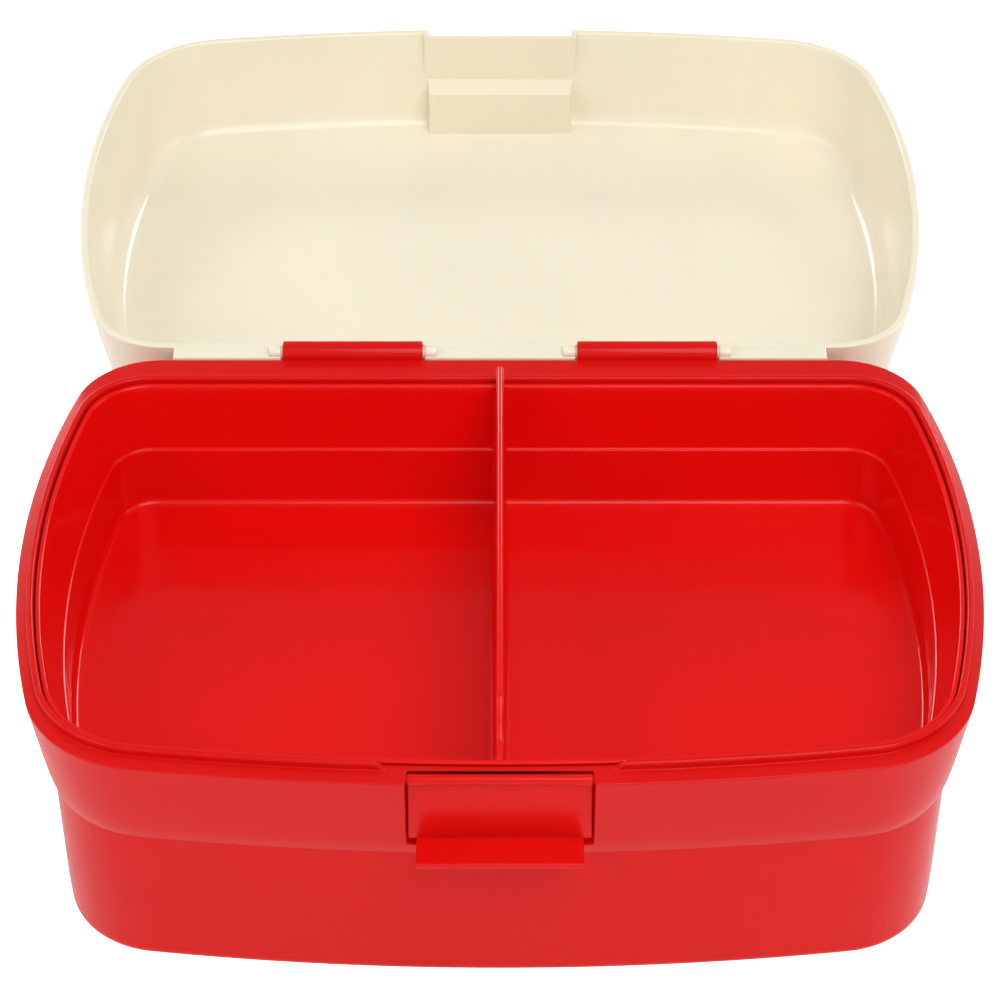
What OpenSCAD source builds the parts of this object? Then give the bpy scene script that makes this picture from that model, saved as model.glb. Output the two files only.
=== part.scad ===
// Lunch box: a base with a flared collar, a lid on two rear hinges, a swing-over latch clip
// and a lift-out tray with two compartments. The lid is drawn folded flat open.
// Millimetres, +Z up, +Y to the rear. The origin is on the base's underside, at the middle of the rim.

/* [Outline] */
// Width across the rim
rim_w = 176; // [170:1:182]
// Depth of the rim, front to rear
rim_d = 123; // [119:1:127]
// Bow radius of the two sides
side_r = 180; // [160:5:220]
// Bow radius of the front
front_r = 480; // [400:10:700]
// Corner radius at the front
front_corner_r = 23; // [20:1:26]
// Corner radius at the rear
rear_corner_r = 16; // [15:1:18]

/* [Heights] */
// Height of the base, from its underside to its flange
base_h = 50; // [48:1:56]
// Height of the lid, from its rim to its top
lid_h = 23; // [22:1:28]
// Height of the flared collar below the flange
collar_h = 19.5; // [18.5:0.1:20.5]
// Depth of the tray's floor below the flange
tray_depth = 25.2; // [22:0.1:26]
// Height of the locating bead above the flange
bead_h = 1.6; // [1:0.1:2]
// Height of the divider's top above the flange
divider_rise = 5.8; // [3:0.1:7]

/* [Latch] */
// Width of the recess that the clip lies in
recess_w = 32.1; // [30:0.1:34]
// Width of the clip's plate
clip_w = 31.7; // [30:0.1:31.8]
// Width of the clip's hook
hook_w = 28.9; // [24:0.1:29]
// Length of the clip, from its pivot to its hook's shelf
clip_reach = 14; // [13:0.1:14.2]

/* [Hinge] */
// Length of each hinge barrel
barrel_w = 27.6; // [20:0.1:30]
// Distance of each barrel's middle from the centre plane
barrel_x = 29; // [27:0.5:32]
// Outer radius of a barrel
barrel_r = 2.3; // [2.2:0.05:2.4]

/* [Hidden] */

$fn = 48;
eps = 0.5;

// Where the widest point of the sides lies, and where the inner wall stands further in
side_y = 3;
inner_front = 1.5;
inner_rear = 5.2;

// Hinge axis, and the lid's small gap above the flange
hinge_y = rim_d / 2 + 1.9;
hinge_z = base_h + 0.15;
pin_r = 1.2;
pin_clearance = 0.05;
lug_r = 1.35;
lug_w = 2.5;
lug_gap = 0.3;
strip_x = 64.5;
strip_t = 1.5;
strip_gap = 0.3;

// Latch: pivot, plate, hook and recess, as distances in from the rim's front line
pivot_in = 2.6;
pivot_z = base_h - 1;
knuckle_r = 0.95;
trunnion_r = 0.65;
trunnion_x = 17.3;
bore_r = trunnion_r + 0.05;
plate_out = 2.3;
plate_back = 3.4;
plate_slope = 0.6;
hook_t = 1.4;
hook_tip_in = -3.4;
recess_in = 3.65;
lid_recess_in = 3.05;
recess_wall = 1.1;
pocket_in = 8.9;
pocket_wall = 1.2;
pocket_play = 0.45;
shelf_z = pivot_z - clip_reach;
recess_z = shelf_z - 1.8;
seat_z = pivot_z + clip_reach - 0.15;
pocket_h = 4.65;

// Tray and divider
tray_floor_z = base_h - tray_depth;
tray_bottom_z = tray_floor_z - 1.6;
step_z = base_h - 12.6;
divider_t = 1.5;
rib_t = 1.5;
rib_reach = 6.4;

// An arc about c, from a0 to a1 degrees in n steps, starting at step first
function arc(c, r, a0, a1, n, first = 0) =
    [for (i = [first : n]) c + r * [cos(a0 + (a1 - a0) * i / n), sin(a0 + (a1 - a0) * i / n)]];

// The centre at distance a from p and b from q, on the right of the line from p to q
function meet(p, a, q, b) =
    let (d = norm(q - p), u = (q - p) / d, k = (a * a - b * b + d * d) / (2 * d))
    p + k * u + sqrt(a * a - k * k) * [u.y, -u.x];

function heading(from, to) = atan2(to.y - from.y, to.x - from.x);

// The rim's outline inset by t, with its front and rear moved further in by front and rear
function outline(t, front = 0, rear = 0) =
    let (
        side = [rim_w / 2 - side_r, side_y],
        bow = [0, front_r + front - rim_d / 2],
        fc = meet(side, side_r - front_corner_r, bow, front_r - front_corner_r),
        ry = rim_d / 2 - rear - rear_corner_r,
        rc = [side.x + sqrt(pow(side_r - rear_corner_r, 2) - pow(ry - side_y, 2)), ry],
        a1 = heading(bow, fc),
        a2 = heading(side, fc),
        a3 = heading(side, rc),
        right = concat(
            arc(bow, front_r - t, -90, a1, 4),
            arc(fc, front_corner_r - t, a1, a2, 9, 1),
            arc(side, side_r - t, a2, a3, 7, 1),
            arc(rc, rear_corner_r - t, a3, 90, 8, 1)
        ),
        last = len(right) - 1
    )
    concat(right, [for (i = [last : -1 : 1]) [-right[i].x, right[i].y]]);

// One level of a shell: inset, height and which wall it belongs to
function outer(t, z) = [t, z, 0, 0];
function lower(t, z) = [t, z, 0, inner_rear];
function inner(t, z) = [t, z, inner_front, inner_rear];

// A closed shell through its levels, capped at the first and the last
module shell(levels) {
    n = len(outline(0));
    m = len(levels);
    points = [for (v = levels) for (p = outline(v[0], v[2], v[3])) [p.x, p.y, v[1]]];
    sides = [for (k = [0 : m - 2]) for (j = [0 : n - 1])
        [k * n + j, (k + 1) * n + j, (k + 1) * n + (j + 1) % n, k * n + (j + 1) % n]];
    first_cap = [for (j = [0 : n - 1]) j];
    last_cap = [for (j = [n - 1 : -1 : 0]) (m - 1) * n + j];
    polyhedron(points, concat([first_cap], sides, [last_cap]), convexity = 8);
}

// A block centred on the middle plane, from inset i0 to i1 behind the rim's front line
module front_block(w, i0, i1, z0, z1) {
    translate([-w / 2, i0 - rim_d / 2, z0]) cube([w, i1 - i0, z1 - z0]);
}

// A bar centred on the middle plane, with its section's points as (inset, height)
module front_bar(w, section) {
    translate([-w / 2, 0, 0]) rotate([90, 0, 90]) linear_extrude(w)
        polygon([for (p = section) [p.x - rim_d / 2, p.y]]);
}

// A rod along X through the point (x0, y, z)
module rod(x0, x1, y, z, r) {
    translate([x0, y, z]) rotate([0, 90, 0]) cylinder(h = x1 - x0, r = r);
}

// The lid is drawn closed and then folded back about its hinge
module folded_open() {
    translate([0, hinge_y, hinge_z]) rotate([180, 0, 0]) translate([0, -hinge_y, -hinge_z]) children();
}

module base_shell() {
    h = base_h;
    crease = h - collar_h;
    color([0.80, 0.05, 0.05]) difference() {
        shell([
            lower(7.4, 0), lower(5.9, 0.4), lower(5.1, 1.2), lower(4.9, 2.4), lower(4.1, crease - 0.1),
            outer(4.0, crease - 0.1), outer(3.7, crease + 0.4), outer(3.2, crease + 1.8),
            outer(2.7, crease + 4), outer(2.0, crease + 7.8), outer(1.15, crease + 12.8),
            outer(0.4, h - 2), outer(0, h - 0.5), outer(0.35, h),
            inner(1.9, h), inner(1.9, h + bead_h - 0.4), inner(2.2, h + bead_h),
            inner(3.0, h + bead_h), inner(3.35, h + bead_h - 0.4), inner(3.35, h - 3),
            inner(5.0, crease + 2.3), inner(5.3, crease + 1.9),
            lower(6.0, crease + 0.4), lower(6.6, 4), lower(7.3, 2.4), lower(8.9, 1.6)
        ]);
        front_block(40, -1, 6, h, h + 3);
        front_bar(recess_w, [[-1, h + 1], [recess_in, h + 1], [recess_in, h - 1],
            [recess_in + 0.7, recess_z], [-1, recess_z]]);
        rod(-trunnion_x - 0.3, trunnion_x + 0.3, pivot_in - rim_d / 2, pivot_z, bore_r);
    }
}

// Ribs on the base's inner wall that carry the tray
module tray_support_ribs() {
    wall = 5.4;
    front_y = front_r - rim_d / 2 - sqrt(pow(front_r - wall, 2) - 45 * 45);
    rear_y = rim_d / 2 - inner_rear - wall;
    side_x = rim_w / 2 - wall;
    h = tray_bottom_z - 1.2;
    color([0.76, 0.05, 0.05]) for (s = [-1, 1]) {
        translate([s * 45 - rib_t / 2, front_y, 1.2]) cube([rib_t, rib_reach, h]);
        translate([s * 45 - rib_t / 2, rear_y - rib_reach, 1.2]) cube([rib_t, rib_reach, h]);
        translate([s * (side_x - rib_reach / 2) - rib_reach / 2, -rib_t / 2, 1.2])
            cube([rib_reach, rib_t, h]);
    }
}

// A barrel on the base's rear rim, bored for the lid's pin
module hinge_barrel(side) {
    x0 = side * barrel_x - barrel_w / 2;
    color([0.80, 0.05, 0.05]) difference() {
        union() {
            rod(x0, x0 + barrel_w, hinge_y, hinge_z, barrel_r);
            translate([x0, hinge_y - 4.4, hinge_z - barrel_r]) cube([barrel_w, 4.4, barrel_r - 0.15]);
        }
        rod(x0 - 1, x0 + barrel_w + 1, hinge_y, hinge_z, pin_r + pin_clearance);
    }
}

module tray_shell() {
    h = base_h;
    f = tray_floor_z;
    color([0.84, 0.06, 0.06]) shell([
        inner(9.0, tray_bottom_z), inner(7.8, tray_bottom_z + 0.4), inner(7.35, tray_bottom_z + 1.2),
        inner(7.1, step_z - 1.0), inner(6.5, step_z - 0.4),
        inner(3.5, h + 0.2), inner(3.65, h + 0.6), inner(4.3, h + 0.6), inner(4.9, h - 0.4),
        inner(5.2, h - 2), inner(7.5, step_z + 0.4),
        inner(8.0, step_z), inner(8.4, f + 1.6), inner(8.9, f + 0.5), inner(10.0, f)
    ]);
}

// The divider rises above the tray's rim and drops in an S towards the front wall
module tray_divider() {
    h = base_h;
    top = h + divider_rise;
    low = h + 0.2;
    rear = rim_d / 2 - inner_rear - 4.1;
    front = inner_front + 4.2 - rim_d / 2;
    s0 = -43.8;
    s1 = -51.6;
    s_curve = [for (i = [0 : 10]) let (k = i / 10)
        [s0 + (s1 - s0) * k, top + (low - top) * (1 - cos(180 * k)) / 2]];
    rear_corner = arc([rear - 1.5, top - 1.5], 1.5, 0, 90, 4);
    color([0.84, 0.06, 0.06])
        translate([-divider_t / 2, 0, 0]) rotate([90, 0, 90]) linear_extrude(divider_t)
        polygon(concat([[front, low], [front + 2.6, step_z], [front + 3.2, step_z - 0.4],
            [front + 3.8, tray_floor_z - 0.4], [rear - 4.8, tray_floor_z - 0.4],
            [rear - 3.4, step_z - 0.4], [rear, h]], rear_corner, s_curve));
}

// The clip hangs open in the base's recess, its hook pointing forwards
module latch_clip() {
    y = pivot_in - rim_d / 2;
    color([0.82, 0.03, 0.02]) union() {
        rod(-clip_w / 2, clip_w / 2, y, pivot_z, knuckle_r);
        rod(-trunnion_x, trunnion_x, y, pivot_z, trunnion_r);
        front_bar(clip_w, [[plate_out, pivot_z], [plate_out + plate_slope, shelf_z],
            [plate_back + plate_slope, shelf_z], [plate_back, pivot_z]]);
        front_block(hook_w, hook_tip_in, plate_back + plate_slope, shelf_z - hook_t, shelf_z);
    }
}

module lid_cut() {
    front_block(recess_w, -5, lid_recess_in, base_h - 5, base_h + lid_h + 5);
    front_block(hook_w + 2 * pocket_play, -5, pocket_in, seat_z, seat_z + pocket_h);
    for (s = [-1, 1]) {
        x0 = s * barrel_x - barrel_w / 2 - lug_gap;
        rod(x0, x0 + barrel_w + 2 * lug_gap, hinge_y, hinge_z, barrel_r + 0.35);
    }
}

// The lid's walls and top, with a flat strip along the rear rim that carries the hinge
module lid_shell() {
    z = hinge_z;
    top = base_h + lid_h + 0.3;
    strip_y = rim_d / 2 - 0.9;
    strip_d = 2 * hinge_y - rim_d / 2 - strip_gap - strip_y;
    color([0.97, 0.93, 0.82]) folded_open() difference() {
        union() {
            shell([
                outer(1.7, z), outer(0.2, z), outer(0, z + 0.3), outer(1.2, z + 6), outer(2.5, z + 12),
                outer(3.6, z + 17), outer(4.7, z + 19.8), outer(6.4, z + 21.8), outer(8.4, z + 22.9),
                outer(10.8, top)
            ]);
            translate([-strip_x, strip_y, z + 0.02]) cube([2 * strip_x, strip_d, strip_t]);
        }
        shell([
            outer(1.7, z - eps), outer(1.7, z + 0.6), outer(2.9, z + 6), outer(4.2, z + 12),
            outer(5.3, z + 16.6), outer(6.4, z + 19), outer(8.2, z + 20.8), outer(10.8, z + 21.6)
        ]);
        lid_cut();
    }
}

// The lid's side of the latch: a recess wall and the pocket that the hook swings into
module lid_latch_box() {
    w = recess_w + 2 * recess_wall;
    pw = hook_w + 2 * (pocket_play + pocket_wall);
    z = hinge_z;
    top = base_h + lid_h - 1;
    color([0.95, 0.90, 0.80]) folded_open() difference() {
        union() {
            front_block(w, 0.9, lid_recess_in + recess_wall, z, seat_z);
            front_block(pw, lid_recess_in, pocket_in + pocket_wall, seat_z - 1.8, top);
        }
        front_block(recess_w, -5, lid_recess_in, z - 5, top + 5);
        front_block(hook_w + 2 * pocket_play, -5, pocket_in, seat_z, top - pocket_wall);
    }
}

// A pin between two lugs that stand on the lid's rear edge
module lid_hinge_pin(side) {
    x0 = side * barrel_x - barrel_w / 2 - lug_gap;
    x1 = x0 + barrel_w + 2 * lug_gap;
    color([0.96, 0.92, 0.82]) folded_open() union() {
        rod(x0 - lug_w, x1 + lug_w, hinge_y, hinge_z, pin_r);
        for (x = [x0 - lug_w, x1]) {
            rod(x, x + lug_w, hinge_y, hinge_z, lug_r);
            translate([x, rim_d / 2 - 0.9, hinge_z + 0.25])
                cube([lug_w, hinge_y - rim_d / 2 + 0.9, lug_r - 0.25]);
        }
    }
}

base_shell();
tray_support_ribs();
hinge_barrel(-1);  // hinge_barrel_left
hinge_barrel(1);  // hinge_barrel_right
tray_shell();
tray_divider();
latch_clip();
lid_shell();
lid_latch_box();
lid_hinge_pin(-1);  // lid_hinge_pin_left
lid_hinge_pin(1);  // lid_hinge_pin_right
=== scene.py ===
"""Looks of a lunch box: red base, tray and latch clip, cream lid folded flat open behind them.

Lengths are in millimetres until a mesh is made; Blender's own units are metres.
The lid is described closed, and then turned half a turn back about its hinge.
"""
import math

import bmesh
import bpy
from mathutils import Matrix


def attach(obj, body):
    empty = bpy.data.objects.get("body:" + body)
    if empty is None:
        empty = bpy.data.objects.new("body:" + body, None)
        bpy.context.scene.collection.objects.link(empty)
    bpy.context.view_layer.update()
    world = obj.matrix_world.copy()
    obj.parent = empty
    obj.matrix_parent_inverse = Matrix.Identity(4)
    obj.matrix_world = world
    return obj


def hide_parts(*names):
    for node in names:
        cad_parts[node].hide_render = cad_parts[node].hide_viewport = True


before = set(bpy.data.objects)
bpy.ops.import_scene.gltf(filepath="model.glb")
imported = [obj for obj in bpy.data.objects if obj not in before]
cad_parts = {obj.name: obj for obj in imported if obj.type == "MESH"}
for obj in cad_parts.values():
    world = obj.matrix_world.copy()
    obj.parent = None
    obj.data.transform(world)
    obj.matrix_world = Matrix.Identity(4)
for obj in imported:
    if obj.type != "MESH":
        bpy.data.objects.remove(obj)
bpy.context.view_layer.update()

MM = 0.001

# Outline of the rim
RIM_W = 176
RIM_D = 123
SIDE_R = 180
SIDE_Y = 3
FRONT_R = 480
FRONT_CORNER_R = 23
REAR_CORNER_R = 16
INNER_FRONT = 1.5
INNER_REAR = 5.2
FRONT_Y = -RIM_D / 2

# Heights
BASE_H = 50
COLLAR_H = 19.5
CREASE = BASE_H - COLLAR_H
BEAD_H = 1.6
TRAY_FLOOR = BASE_H - 25.2
TRAY_BOTTOM = TRAY_FLOOR - 1.6
STEP = BASE_H - 12.6
DIVIDER_TOP = BASE_H + 5.8

# How far in the tray's inner wall stands, from its lip down to its floor
TRAY_LIP_IN = 4.9
TRAY_STEP_IN = 7.5
TRAY_WALL_IN = 8.0
TRAY_FOOT_IN = 8.5

# Hinge
HINGE_Y = RIM_D / 2 + 1.9
HINGE_Z = BASE_H + 0.15
BARREL_X = 29
BARREL_W = 27.6
BARREL_R = 2.3
BARREL_GAP = 0.35
WEB_REACH = 4
WEB_BACK = 1.3
PIN_R = 1.2
LUG_R = 1.35
LUG_W = 2.5
LUG_GAP = 0.3
STRIP_X = 64.5
STRIP_T = 1.5
STRIP_GAP = 0.3
LID_TOP = BASE_H + 23.3

# Latch
RECESS_W = 32.1
RECESS_IN = 3.65
RECESS_SLOPE = 0.043
RECESS_SOFT = 0.12
BEAD_GAP = 20.4
CLIP_W = 31.7
HOOK_W = 28.9
PIVOT_Y = FRONT_Y + 2.6
PIVOT_Z = BASE_H - 1
KNUCKLE_R = 0.95
CLIP_PIN_R = 0.65
CLIP_PIN_END = 17.3
HOOK_REACH = 14
SHELF = PIVOT_Z - HOOK_REACH
RECESS_Z = SHELF - 1.8
HOOK_T = 1.4
HOOK_TIP = FRONT_Y - 3.4
PLATE_OUT = FRONT_Y + 2.3
PLATE_BACK = FRONT_Y + 3.4
PLATE_SLOPE = 0.6
PLATE_TOP = PIVOT_Z - 0.4
SEAT = PIVOT_Z + HOOK_REACH - 0.15
LID_RECESS_IN = 3.05
LID_BOX_IN = LID_RECESS_IN + 1.1
LID_BOX_HALF = 17.15
POCKET_H = 4.6
POCKET_IN = 8.9
POCKET_HALF = 14.9
POCKET_BOX_IN = 10.1
POCKET_BOX_HALF = 16.1
POCKET_SOFT = 0.1

# Divider
DIVIDER_HALF = 0.75
DIVIDER_FILLET = 1.1
DIVIDER_CORNER = 1.6
DIVIDER_LOW = BASE_H + 0.2
DIVIDER_FRONT = FRONT_Y + INNER_FRONT + TRAY_LIP_IN
DIVIDER_REAR = RIM_D / 2 - INNER_REAR - 4.2
DIVIDER_MIDDLE = -43
END_FLARE = 0.9
DIVIDER_DROP_Y = -43.8
DIVIDER_DROP = 7.8

# Mesh fineness
EDGE_SOFT = 0.25
EDGE_STEPS = 8
TURN_STEPS = 48
BEVEL_STEPS = 4
BEVEL_ANGLE = math.radians(38)
SHARP_ANGLE = math.radians(40)

SIDES = ((-1, "left"), (1, "right"))


def smoothstep(low, high, v):
    k = min(1.0, max(0.0, (v - low) / (high - low)))
    return k * k * (3 - 2 * k)


def window(v, half):
    """1 within half of zero, 0 beyond it."""
    return 1 - smoothstep(half - EDGE_SOFT, half + EDGE_SOFT, abs(v))


def spread(low, high, n):
    return [low + (high - low) * i / n for i in range(n + 1)]


def edge_stations(half):
    """Stations across the soft edge of a window."""
    return spread(half - EDGE_SOFT, half + EDGE_SOFT, EDGE_STEPS)


def meet(p, a, q, b):
    """The centre at distance a from p and b from q, on the right of the line from p to q."""
    dx, dy = q[0] - p[0], q[1] - p[1]
    d = math.hypot(dx, dy)
    k = (a * a - b * b + d * d) / (2 * d)
    s = math.sqrt(a * a - k * k)
    return (p[0] + (k * dx + s * dy) / d, p[1] + (k * dy - s * dx) / d)


def arc(c, r, a0, a1, n):
    angles = [a0 + (a1 - a0) * i / n for i in range(1, n + 1)]
    return [(c[0] + r * math.cos(a), c[1] + r * math.sin(a)) for a in angles]


def heading(c, p):
    return math.atan2(p[1] - c[1], p[0] - c[0])


FRONT_X = sorted(
    [0, 3, 6, 9, 12, 13.5]
    + edge_stations(POCKET_HALF)
    + edge_stations(RECESS_W / 2)
    + edge_stations(LID_BOX_HALF)
    + spread(19.2, 21.6, 8)
    + [24]
)
REAR_X = sorted(
    [0, 4, 8, 12, 18, 22, 26, 30, 34, 38, 41, 46, 50, 55]
    + edge_stations(BARREL_X - BARREL_W / 2 - LUG_GAP)
    + edge_stations(BARREL_X + BARREL_W / 2 + LUG_GAP)
)


def half_outline(t, front, rear):
    """The right half of the outline, inset by t, from the front's middle to the rear's."""
    side = (RIM_W / 2 - SIDE_R, SIDE_Y)
    bow = (0, FRONT_R + front + FRONT_Y)
    fc = meet(side, SIDE_R - FRONT_CORNER_R, bow, FRONT_R - FRONT_CORNER_R)
    ry = RIM_D / 2 - rear - REAR_CORNER_R
    rc = (side[0] + math.sqrt((SIDE_R - REAR_CORNER_R) ** 2 - (ry - SIDE_Y) ** 2), ry)
    r = FRONT_R - t
    front_part = [(x, bow[1] - math.sqrt(r * r - x * x)) for x in FRONT_X]
    a1 = heading(bow, fc)
    a2 = heading(side, fc)
    a3 = heading(side, rc)
    points = front_part + arc(bow, r, heading(bow, front_part[-1]), a1, 12)
    points += arc(fc, FRONT_CORNER_R - t, a1, a2, 22)
    points += arc(side, SIDE_R - t, a2, a3, 26)
    points += arc(rc, REAR_CORNER_R - t, a3, math.pi / 2, 18)
    rear_y = RIM_D / 2 - rear - t
    return points + [(x, rear_y) for x in reversed(REAR_X)]


def ring(level, shape):
    t, z, front, rear, tag = level
    half = half_outline(t, front, rear)
    loop = half + [(-x, y) for x, y in reversed(half[1:-1])]
    return [shape(x, y, z, tag) for x, y in loop]


def rounded(keys, n=6):
    """Levels through keys (t, z, front, rear, radius, tag), each corner rounded within its radius."""
    levels = []
    for i, key in enumerate(keys):
        here = key[:4]
        if i in (0, len(keys) - 1) or key[4] == 0:
            levels.append((*here, key[5]))
            continue
        ends = []
        for other in (keys[i - 1][:4], keys[i + 1][:4]):
            length = math.dist(here, other)
            k = min(0.5, key[4] / length)
            ends.append([a + (b - a) * k for a, b in zip(here, other)])
        for j in range(n + 1):
            s = j / n
            w = ((1 - s) ** 2, 2 * s * (1 - s), s * s)
            point = [w[0] * a + w[1] * p + w[2] * b for a, p, b in zip(ends[0], here, ends[1])]
            levels.append((*point, key[5]))
    return levels


def refined(levels, bands):
    """Levels with more added inside the height bands, where a feature starts or stops."""
    fine = [levels[0]]
    cuts = sorted({z for low, high, n in bands for z in spread(low, high, n)})
    for a, b in zip(levels, levels[1:]):
        inside = [z for z in cuts if min(a[1], b[1]) < z < max(a[1], b[1])]
        if a[4] == b[4]:
            for z in inside if b[1] > a[1] else reversed(inside):
                k = (z - a[1]) / (b[1] - a[1])
                fine.append((*[p + (q - p) * k for p, q in zip(a[:4], b[:4])], a[4]))
        fine.append(b)
    return fine


def same(x, y, z, tag=None):
    """Leave a point where it is. The tag lets this stand in for a shape."""
    return (x, y, z)


def folded_open(x, y, z):
    """Half a turn back about the lid's hinge."""
    return (x, 2 * HINGE_Y - y, 2 * HINGE_Z - z)


def make_object(name, mesh, material, body, slot, *nodes):
    mesh.validate()
    mesh.shade_smooth()
    mesh.set_sharp_from_angle(angle=SHARP_ANGLE)
    mesh.materials.append(material)
    obj = bpy.data.objects.new(name, mesh)
    bpy.context.scene.collection.objects.link(obj)
    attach(obj, body)
    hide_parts(*nodes)
    return obj


def mesh_from(name, points, faces, place=same):
    mesh = bpy.data.meshes.new(name)
    moved = [place(*p) for p in points]
    mesh.from_pydata([[c * MM for c in p] for p in moved], [], faces)
    bm = bmesh.new()
    bm.from_mesh(mesh)
    bmesh.ops.remove_doubles(bm, verts=bm.verts, dist=1e-7)
    bmesh.ops.recalc_face_normals(bm, faces=bm.faces)
    bm.to_mesh(mesh)
    bm.free()
    return mesh


def caps(n, rows):
    """The first and the last of the rows of n points, as two faces."""
    return [tuple(range(n)), tuple(reversed(range((rows - 1) * n, rows * n)))]


def shell_mesh(name, levels, shape, place=same):
    """A closed skin through the levels, capped at the first and the last."""
    rings = [ring(level, shape) for level in levels]
    n = len(rings[0])
    faces = caps(n, len(rings))
    for k in range(len(rings) - 1):
        for j in range(n):
            a, b = k * n + j, k * n + (j + 1) % n
            faces.append((a, a + n, b + n, b))
    return mesh_from(name, [p for r in rings for p in r], faces, place)


# Materials


class Look:
    """A plastic's shader nodes, with the object's own coordinates to place the noise."""

    def __init__(self, name):
        self.material = bpy.data.materials.new(name)
        self.material.use_nodes = True
        self.nodes = self.material.node_tree.nodes
        self.link = self.material.node_tree.links.new
        self.shader = self.nodes["Principled BSDF"]
        self.place = self.nodes.new("ShaderNodeTexCoord").outputs["Object"]

    def node(self, kind, **values):
        """A new node, whose inputs are set by name; an underscore stands for a space."""
        node = self.nodes.new(kind)
        for key, value in values.items():
            node.inputs[key.replace("_", " ")].default_value = value
        return node

    def cloud(self, scale, detail, vector=None):
        node = self.node("ShaderNodeTexNoise", Scale=scale, Detail=detail)
        self.link(vector or self.place, node.inputs["Vector"])
        return node.outputs["Fac"]

    def span(self, value, low, high):
        """The noise's middle range, stretched to run from low to high."""
        node = self.node("ShaderNodeMapRange", From_Min=0.3, From_Max=0.7, To_Min=low, To_Max=high)
        self.link(value, node.inputs["Value"])
        return node.outputs["Result"]

    def add_tint(self, colour):
        tint = self.node("ShaderNodeHueSaturation", Color=(*colour, 1))
        self.link(self.span(self.cloud(22, 3), 0.97, 1.03), tint.inputs["Value"])
        self.link(tint.outputs["Color"], self.shader.inputs["Base Color"])

    def add_sheen(self, roughness):
        """An uneven sheen, with light scuffs along one direction."""
        stretch = self.node("ShaderNodeMapping", Scale=(0.3, 2.6, 1.0), Rotation=(0, 0, 0.5))
        self.link(self.place, stretch.inputs["Vector"])
        scuffs = self.cloud(140, 6, stretch.outputs["Vector"])
        sheen = self.nodes.new("ShaderNodeMath")
        sheen.operation = "ADD"
        uneven = self.span(self.cloud(60, 4), roughness - 0.02, roughness + 0.02)
        self.link(uneven, sheen.inputs[0])
        self.link(self.span(scuffs, -0.006, 0.012), sheen.inputs[1])
        self.link(sheen.outputs["Value"], self.shader.inputs["Roughness"])

    def add_grain(self):
        """Fine mould grain over a slow swell."""
        grain = self.node("ShaderNodeBump", Strength=0.12, Distance=0.00006)
        self.link(self.cloud(2600, 2), grain.inputs["Height"])
        swell = self.node("ShaderNodeBump", Strength=0.05, Distance=0.0006)
        self.link(self.cloud(38, 1), swell.inputs["Height"])
        self.link(swell.outputs["Normal"], grain.inputs["Normal"])
        self.link(grain.outputs["Normal"], self.shader.inputs["Normal"])


def plastic(name, colour, roughness, glow, shine):
    """Moulded plastic: faint mottling, uneven sheen, fine mould grain and light scuffs."""
    look = Look(name)
    inputs = look.shader.inputs
    inputs["IOR"].default_value = 1.49
    inputs["Specular IOR Level"].default_value = shine
    inputs["Subsurface Weight"].default_value = glow
    inputs["Subsurface Radius"].default_value = (1.0, 0.35, 0.25)
    inputs["Subsurface Scale"].default_value = 0.002
    look.add_tint(colour)
    look.add_sheen(roughness)
    look.add_grain()
    return look.material


BASE_RED = plastic("base_red", (0.66, 0.005, 0.004), 0.24, 0.10, 0.18)
TRAY_RED = plastic("tray_red", (0.76, 0.004, 0.003), 0.15, 0.10, 0.24)
CLIP_RED = plastic("clip_red", (0.70, 0.004, 0.003), 0.32, 0.08, 0.20)
LID_CREAM = plastic("lid_cream", (0.87, 0.81, 0.64), 0.17, 0.20, 0.45)


# Base


def base_shape(x, y, z, tag):
    if z > BASE_H and y < 0:
        z = BASE_H + (z - BASE_H) * smoothstep(BEAD_GAP - 1.0, BEAD_GAP + 0.9, abs(x))
    if tag == "outer" and y < 0:
        back = FRONT_Y + RECESS_IN + max(0.0, BASE_H - 1 - z) * RECESS_SLOPE
        open_up = smoothstep(RECESS_Z - RECESS_SOFT, RECESS_Z + RECESS_SOFT, z)
        y += max(0.0, back - y) * window(x, RECESS_W / 2) * open_up
    return (x, y, z)


def base_levels():
    """From under the floor, up the outside, over the bead and down the inside."""
    h = BASE_H
    f, b = INNER_FRONT, INNER_REAR
    keys = [(9, 0, 0, b, 0, "outer"), (4.95, 0, 0, b, 2.1, "outer")]
    keys += [(4.15, CREASE - 0.05, 0, b, 0.3, "outer"), (3.9, CREASE - 0.05, 0, 0, 0.15, "outer")]
    collar = [(3.65, 0.6), (3.2, 1.9), (2.7, 4), (2.0, 7.8), (1.15, 12.8), (0.4, 17.5)]
    keys += [(t, CREASE + dz, 0, 0, 9, "outer") for t, dz in collar]
    keys += [(0.02, h, 0, 0, 0.55, "outer")]
    keys += [(1.9, h, f, b, 0.3, "flange"), (1.95, h + BEAD_H, f, b, 0.6, "bead")]
    keys += [(3.3, h + BEAD_H, f, b, 0.6, "bead"), (3.35, h - 3, f, b, 2, "inner")]
    keys += [(5.25, CREASE + 1.9, f, b, 0.1, "inner"), (6.0, CREASE + 0.4, 0, b, 0.1, "inner")]
    keys += [(6.7, 1.6, 0, b, 2.6, "inner"), (12, 1.6, 0, b, 0, "inner")]
    return refined(rounded(keys), [(RECESS_Z - 0.15, RECESS_Z + 0.15, 6)])


make_object(
    "base_body", shell_mesh("base_body", base_levels(), base_shape),
    BASE_RED, "base", "base_red", "base_shell",
)


def bevelled(mesh, width):
    bm = bmesh.new()
    bm.from_mesh(mesh)
    edges = [e for e in bm.edges if len(e.link_faces) == 2 and e.calc_face_angle(0) > BEVEL_ANGLE]
    bmesh.ops.bevel(
        bm, geom=edges, offset=width * MM, segments=BEVEL_STEPS, profile=0.5, affect="EDGES",
        clamp_overlap=True,
    )
    bm.to_mesh(mesh)
    bm.free()
    return mesh


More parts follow.
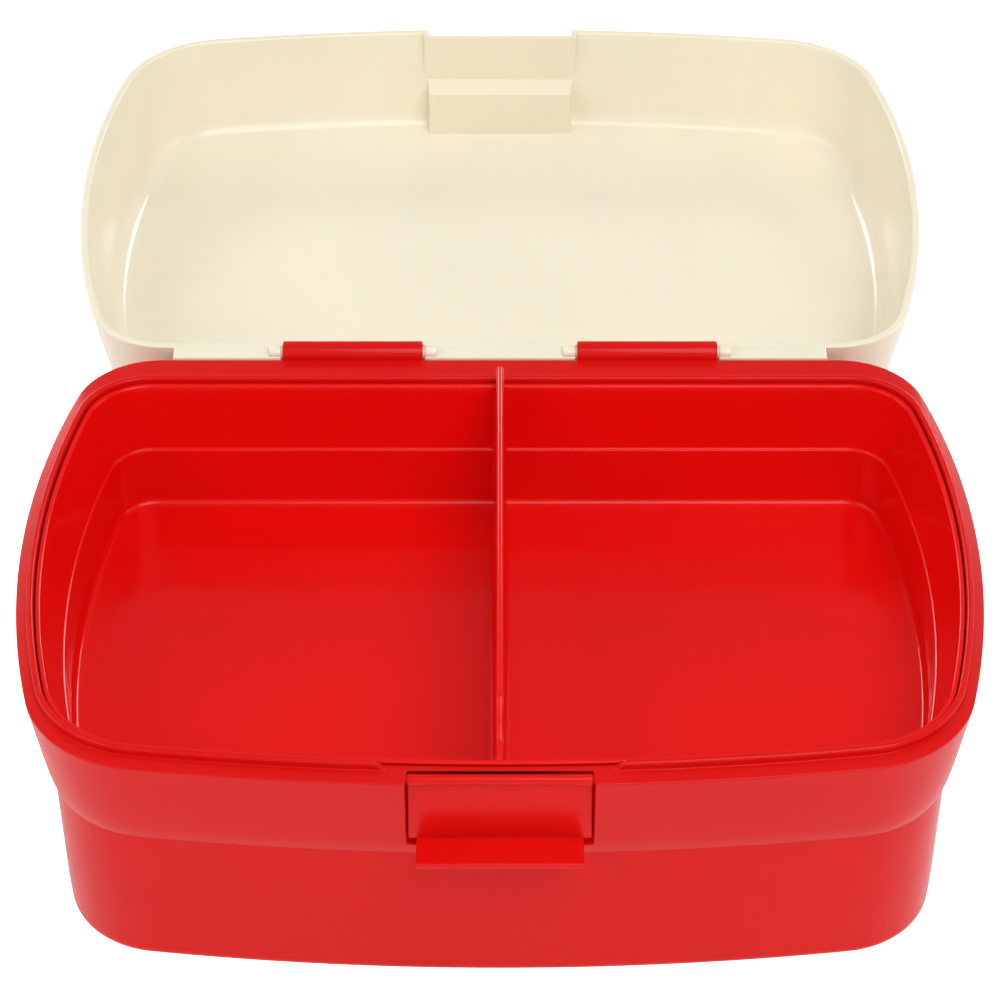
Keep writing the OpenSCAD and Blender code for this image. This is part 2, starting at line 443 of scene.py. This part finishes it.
def bar_mesh(name, section, x0, x1, place=same):
    """A prism along X with the section's (y, z) points."""
    n = len(section)
    points = [(x, y, z) for x in (x0, x1) for y, z in section]
    faces = caps(n, 2)
    faces += [(j, j + n, (j + 1) % n + n, (j + 1) % n) for j in range(n)]
    return mesh_from(name, points, faces, place)


def turned_mesh(name, profile, y, z, place=same):
    """A solid turned about a line along X, from its (x, radius) profile, which closes on itself."""
    n = TURN_STEPS
    m = len(profile)
    points = []
    for j in range(n):
        a = 2 * math.pi * j / n
        points += [(x, y + r * math.cos(a), z + r * math.sin(a)) for x, r in profile]
    faces = []
    for j in range(n):
        for k in range(m):
            a, b = j * m + k, j * m + (k + 1) % m
            c, d = ((j + 1) % n) * m + (k + 1) % m, ((j + 1) % n) * m + k
            faces.append((a, b, c, d))
    return mesh_from(name, points, faces, place)


def tube_profile(x0, x1, outer, inner, fillet):
    """A tube's (x, radius) section, with its outer corners rounded."""
    turns = spread(0, math.pi / 2, 5)
    corner = [(fillet * (1 - math.sin(a)), outer - fillet * (1 - math.cos(a))) for a in turns]
    start = [(x0 + dx, r) for dx, r in reversed(corner)]
    end = [(x1 - dx, r) for dx, r in corner]
    return [(x0, inner)] + start + end + [(x1, inner)]


def rod_profile(x0, x1, r, fillet):
    return tube_profile(x0, x1, r, 0.0, fillet)


def box_section(y0, y1, z0, z1):
    return [(y0, z0), (y1, z0), (y1, z1), (y0, z1)]


def make_barrel(side, word):
    """A hinge barrel, and the web that joins it to the base."""
    node = f"hinge_barrel_{word}"
    x0 = side * BARREL_X - BARREL_W / 2
    x1 = x0 + BARREL_W
    tube = tube_profile(x0, x1, BARREL_R, PIN_R + 0.05, 0.35)
    barrel = turned_mesh(f"barrel_{word}", tube, HINGE_Y, HINGE_Z)
    make_object(f"barrel_{word}", barrel, BASE_RED, "base", "base_red", node)
    low = HINGE_Z - BARREL_R + 0.05
    section = box_section(HINGE_Y - WEB_REACH, HINGE_Y - WEB_BACK, low, BASE_H - 0.02)
    web = bevelled(bar_mesh(f"barrel_web_{word}", section, x0, x1), 0.3)
    make_object(f"barrel_web_{word}", web, BASE_RED, "base", "base_red", node)


for side, word in SIDES:
    make_barrel(side, word)


# Tray


def tray_levels():
    """From under the floor, up the outside, over the lip and down past the step."""
    h = BASE_H
    f, b = INNER_FRONT, INNER_REAR
    keys = [
        (12, TRAY_BOTTOM, 0), (7.3, TRAY_BOTTOM, 1.4), (7.1, STEP - 1, 0.6), (6.6, STEP - 0.3, 0.6),
        (3.5, h + 0.2, 0.3), (3.6, h + 0.6, 0.3), (4.5, h + 0.6, 0.5), (5.05, h - 1.2, 1.2),
        (TRAY_STEP_IN, STEP + 0.15, 0.35), (TRAY_WALL_IN, STEP, 0.35),
        (TRAY_FOOT_IN, TRAY_FLOOR, 1.7), (13, TRAY_FLOOR, 0),
    ]
    return rounded([(t, z, f, b, r, "tray") for t, z, r in keys])


make_object(
    "tray_body", shell_mesh("tray_body", tray_levels(), same),
    TRAY_RED, "tray", "tray_red", "tray_shell",
)


def wall_inset(z):
    """How far in the tray's inner wall stands at height z."""
    if z > STEP:
        return TRAY_LIP_IN + (TRAY_STEP_IN - TRAY_LIP_IN) * (BASE_H - z) / (BASE_H - STEP)
    return TRAY_WALL_IN + (TRAY_FOOT_IN - TRAY_WALL_IN) * (STEP - z) / (STEP - TRAY_FLOOR)


def flare(d):
    """How much a fillet adds at distance d from the surface it runs into."""
    if d > DIVIDER_FILLET:
        return 0.0
    d = max(d, 0)
    return DIVIDER_FILLET - math.sqrt(max(0.0, 2 * DIVIDER_FILLET * d - d ** 2))


def divider_top(y):
    """The height of the top edge: it drops at the front, and its rear corner is rounded."""
    drop = smoothstep(0, 1, (DIVIDER_DROP_Y - y) / DIVIDER_DROP)
    z = DIVIDER_TOP + (DIVIDER_LOW - DIVIDER_TOP) * drop
    past = y - DIVIDER_REAR + DIVIDER_CORNER
    if y > DIVIDER_REAR - DIVIDER_CORNER:
        z -= DIVIDER_CORNER - math.sqrt(max(0.0, DIVIDER_CORNER ** 2 - past ** 2))
    return z


def divider_column(y, z_top):
    """The divider's (x, z) section at y, up the right side, over the top and down the left."""
    heights = [TRAY_FLOOR - 0.3 + k * 0.25 for k in range(7)]
    heights += spread(TRAY_FLOOR + 1.8, z_top - DIVIDER_HALF, 28)
    side = []
    for z in heights:
        inset = wall_inset(z)
        gap_front = y - (FRONT_Y + INNER_FRONT + inset)
        gap_rear = (RIM_D / 2 - INNER_REAR - inset) - y
        ends = flare(gap_front) + flare(gap_rear) if z < BASE_H - 0.3 else 0.0
        side.append((DIVIDER_HALF + flare(z - TRAY_FLOOR) + min(ends, END_FLARE), z))
    crown = [
        (DIVIDER_HALF * math.cos(a), z_top - DIVIDER_HALF + DIVIDER_HALF * math.sin(a))
        for a in spread(0, math.pi / 2, 6)[1:]
    ]
    right = side + crown
    return right + [(-x, z) for x, z in reversed(right[:-1])]


def inside_walls(x, y, z):
    """The point, moved back so that it ends inside the tray's wall."""
    inset = wall_inset(z) + 0.3
    if z < BASE_H:
        y = max(y, FRONT_Y + INNER_FRONT + inset - 0.8)
        y = min(y, RIM_D / 2 - INNER_REAR - inset + 0.8)
    return (x, y, z)


def divider_mesh():
    """A thin wall whose foot and ends flare into the tray, with a rounded top edge."""
    front, middle, rear = DIVIDER_FRONT, DIVIDER_MIDDLE, DIVIDER_REAR
    stations = spread(front - 0.4, front + 4.6, 16) + spread(front + 5, middle, 30)[:-1]
    stations += spread(middle, rear - 6, 30)[:-1] + spread(rear - 6, rear - 0.02, 36)
    rows = []
    for y in stations:
        column = divider_column(y, divider_top(y))
        rows.append([inside_walls(x, y, z) for x, z in column])
    n = len(rows[0])
    faces = caps(n, len(rows))
    for k in range(len(rows) - 1):
        a, b = k * n, (k + 1) * n
        faces += [(a + j, b + j, b + j + 1, a + j + 1) for j in range(n - 1)]
    return mesh_from("divider", [p for row in rows for p in row], faces)


make_object("divider", divider_mesh(), TRAY_RED, "tray", "tray_red", "tray_divider")


# Latch clip


PLATE_FOOT = PLATE_OUT + PLATE_SLOPE
PLATE_HEEL = PLATE_BACK + PLATE_SLOPE
PLATE = [(PLATE_OUT, PLATE_TOP), (PLATE_FOOT, SHELF), (PLATE_HEEL, SHELF), (PLATE_BACK, PLATE_TOP)]
HOOK = [
    (PLATE_HEEL - 0.05, SHELF + 0.5), (PLATE_FOOT + 0.2, SHELF + 0.5),
    (PLATE_FOOT + 0.2, SHELF - 0.02), (HOOK_TIP, SHELF - 0.1),
    (HOOK_TIP, SHELF - HOOK_T + 0.1), (PLATE_HEEL - 0.05, SHELF - HOOK_T),
]


def make_clip_bar(name, section, width, edge):
    bar = bevelled(bar_mesh(name, section, -width / 2, width / 2), edge)
    make_object(name, bar, CLIP_RED, "clip", "clip_red", "latch_clip")


def make_clip_rod(name, x0, x1, r, fillet):
    rod = turned_mesh(name, rod_profile(x0, x1, r, fillet), PIVOT_Y, PIVOT_Z)
    make_object(name, rod, CLIP_RED, "clip", "clip_red", "latch_clip")


make_clip_bar("clip_plate", PLATE, CLIP_W, 0.3)
make_clip_bar("clip_hook", HOOK, HOOK_W, 0.36)
make_clip_rod("clip_knuckle", -CLIP_W / 2, CLIP_W / 2, KNUCKLE_R, 0.25)
for side, word in SIDES:
    ends = sorted((side * (CLIP_W / 2 - 0.4), side * CLIP_PIN_END))
    make_clip_rod(f"clip_pin_{word}", ends[0], ends[1], CLIP_PIN_R, 0.12)


# Lid


def pressed_in(x, y, depth, half):
    """The front wall's y, moved in to the given depth within half of the middle."""
    return max(0.0, FRONT_Y + depth - y) * window(x, half)


def lid_shape(x, y, z, tag):
    soft = POCKET_SOFT
    if tag == "outer" and y < 0:
        y += pressed_in(x, y, LID_RECESS_IN, RECESS_W / 2)
        above = smoothstep(SEAT - soft, SEAT + soft, z)
        below = 1 - smoothstep(SEAT + POCKET_H - soft, SEAT + POCKET_H + soft, z)
        y += pressed_in(x, y, POCKET_IN, POCKET_HALF) * above * below
    elif tag == "inner" and y < 0:
        y += pressed_in(x, y, LID_BOX_IN, LID_BOX_HALF)
        deep = smoothstep(SEAT - 1.9, SEAT - 1.5, z)
        y += pressed_in(x, y, POCKET_BOX_IN, POCKET_BOX_HALF) * deep
    elif tag == "outer":
        reach = (BARREL_R + BARREL_GAP) ** 2 - (z - HINGE_Z) ** 2
        limit = HINGE_Y - math.sqrt(max(0.0, reach))
        slot = window(abs(x) - BARREL_X, BARREL_W / 2 + LUG_GAP)
        y -= max(0.0, y - limit) * slot
    return (x, y, z)


def lid_levels():
    """Over the outside from the middle of the top, round the rim and back up the inside."""
    z = HINGE_Z
    top = LID_TOP
    ceiling = top - 1.55
    outer = [
        (15, top, 0), (4.9, top - 0.02, 5.4), (2.5, z + 12, 5), (1.2, z + 6, 5),
        (0.02, z, 0.4), (0.85, z, 0),
    ]
    inner = [
        (0.86, z, 0), (1.7, z, 0.5), (2.9, z + 6, 5), (4.2, z + 12, 5),
        (6.4, ceiling, 4.6), (14, ceiling, 0),
    ]
    keys = [(t, h, 0, 0, r, "outer") for t, h, r in outer]
    keys += [(t, h, 0, 0, r, "inner") for t, h, r in inner]
    bands = [(z, z + 2.4, 10), (SEAT - 2, SEAT - 1.4, 8), (SEAT - 0.15, SEAT + 0.15, 6)]
    bands.append((SEAT + 4.4, SEAT + 4.8, 6))
    return refined(rounded(keys, 10), bands)


make_object(
    "lid_body", shell_mesh("lid_body", lid_levels(), lid_shape, folded_open),
    LID_CREAM, "lid", "lid_cream", "lid_shell", "lid_latch_box",
)

def make_lid_pin(side, word):
    """A hinge pin, and the lug at each of its ends."""
    node = f"lid_hinge_pin_{word}"
    x0 = side * BARREL_X - BARREL_W / 2 - LUG_GAP
    x1 = x0 + BARREL_W + 2 * LUG_GAP
    profile = rod_profile(x0 - LUG_W + 0.1, x1 + LUG_W - 0.1, PIN_R, 0.1)
    rod = turned_mesh(f"hinge_pin_{word}", profile, HINGE_Y, HINGE_Z, folded_open)
    make_object(f"hinge_pin_{word}", rod, LID_CREAM, "lid", "lid_cream", node)
    turns = spread(0, math.pi * 1.3, 26)
    section = [(HINGE_Y + LUG_R * math.sin(a), HINGE_Z + LUG_R * math.cos(a)) for a in turns]
    foot = RIM_D / 2 - 0.8
    section += [(foot, HINGE_Z + 0.3), (foot, HINGE_Z + LUG_R)]
    for end, x in (("a", x0 - LUG_W), ("b", x1)):
        name = f"hinge_lug_{word}_{end}"
        lug = bevelled(bar_mesh(name, section, x, x + LUG_W, folded_open), 0.3)
        make_object(name, lug, LID_CREAM, "lid", "lid_cream", node)


def make_strip(word, x0, x1):
    """A piece of the flat strip along the lid's rear rim, between the barrels."""
    name = f"hinge_strip_{word}"
    y0 = RIM_D / 2 - 0.9
    y1 = 2 * HINGE_Y - RIM_D / 2 - STRIP_GAP
    section = box_section(y0, y1, HINGE_Z + 0.02, HINGE_Z + STRIP_T)
    strip = bevelled(bar_mesh(name, section, x0, x1, folded_open), 0.25)
    make_object(name, strip, LID_CREAM, "lid", "lid_cream", "lid_shell")


for side, word in SIDES:
    make_lid_pin(side, word)

STRIP_IN = BARREL_X - BARREL_W / 2 - LUG_GAP
STRIP_OUT = BARREL_X + BARREL_W / 2 + LUG_GAP
make_strip("left", -STRIP_X, -STRIP_OUT)
make_strip("middle", -STRIP_IN, STRIP_IN)
make_strip("right", STRIP_OUT, STRIP_X)

# The support ribs keep their shape under the tray
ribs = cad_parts["tray_support_ribs"]
ribs.data.materials.clear()
ribs.data.materials.append(BASE_RED)


# Floor, light and camera


def area_light(name, energy, size, place, target):
    """A white square light at place, turned towards target."""
    data = bpy.data.lights.new(name, "AREA")
    data.energy = energy
    data.size = size
    light = bpy.data.objects.new(name, data)
    light.location = place
    aim = bpy.data.objects.new(name + "_aim", None)
    aim.location = target
    bpy.context.scene.collection.objects.link(light)
    bpy.context.scene.collection.objects.link(aim)
    track = light.constraints.new("TRACK_TO")
    track.target = aim
    track.track_axis = "TRACK_NEGATIVE_Z"
    track.up_axis = "UP_Y"


def add_floor(half=6.0):
    """A white floor. It glows for the camera, and lights the box only a little."""
    mesh = bpy.data.meshes.new("floor")
    corners = [(i * half, j * half, 0) for i, j in ((-1, -1), (1, -1), (1, 1), (-1, 1))]
    mesh.from_pydata(corners, [], [(0, 1, 2, 3)])
    floor = bpy.data.objects.new("floor", mesh)
    bpy.context.scene.collection.objects.link(floor)
    material = bpy.data.materials.new("floor")
    material.use_nodes = True
    nodes, links = material.node_tree.nodes, material.node_tree.links
    shader = nodes["Principled BSDF"]
    shader.inputs["Base Color"].default_value = (0.95, 0.95, 0.95, 1)
    shader.inputs["Roughness"].default_value = 0.9
    shader.inputs["Emission Color"].default_value = (1, 1, 1, 1)
    seen = nodes.new("ShaderNodeLightPath")
    level = nodes.new("ShaderNodeMapRange")
    level.inputs["To Min"].default_value = 0.12
    level.inputs["To Max"].default_value = 1.2
    links.new(seen.outputs["Is Camera Ray"], level.inputs["Value"])
    links.new(level.outputs["Result"], shader.inputs["Emission Strength"])
    mesh.materials.append(material)


def add_world(strength):
    world = bpy.data.worlds.new("studio")
    world.use_nodes = True
    background = world.node_tree.nodes["Background"]
    background.inputs["Color"].default_value = (1, 1, 1, 1)
    background.inputs["Strength"].default_value = strength
    bpy.context.scene.world = world


def add_camera(place, tilt, lens):
    """A camera that looks along +Y, tilted up from straight down by the given degrees."""
    data = bpy.data.cameras.new("camera")
    data.sensor_width = 36
    data.lens = lens
    data.clip_end = 20
    camera = bpy.data.objects.new("camera", data)
    camera.location = place
    camera.rotation_euler = (math.radians(tilt), 0, 0)
    bpy.context.scene.collection.objects.link(camera)
    bpy.context.scene.camera = camera


add_floor()
area_light("key", 10.5, 0.9, (0.35, -0.6, 1.2), (0, 0.03, 0.03))
area_light("fill", 3.5, 0.7, (-0.9, -0.5, 0.9), (0, 0, 0.03))
area_light("front", 1.8, 1.4, (0.1, -1.6, 0.55), (0, 0, 0.03))
for side, word in SIDES:
    area_light(f"streak_{word}", 2.2, 0.22, (side * 0.55, 1.2, 0.62), (0, 0.1, 0.03))
    area_light(f"side_{word}", 1.6, 0.5, (side * 1.0, 0.2, 0.5), (0, 0.1, 0.03))
add_world(0.35)
add_camera((0, -0.4931, 0.4517), 51.76, 125.07)
bpy.context.scene.view_settings.view_transform = "Standard"
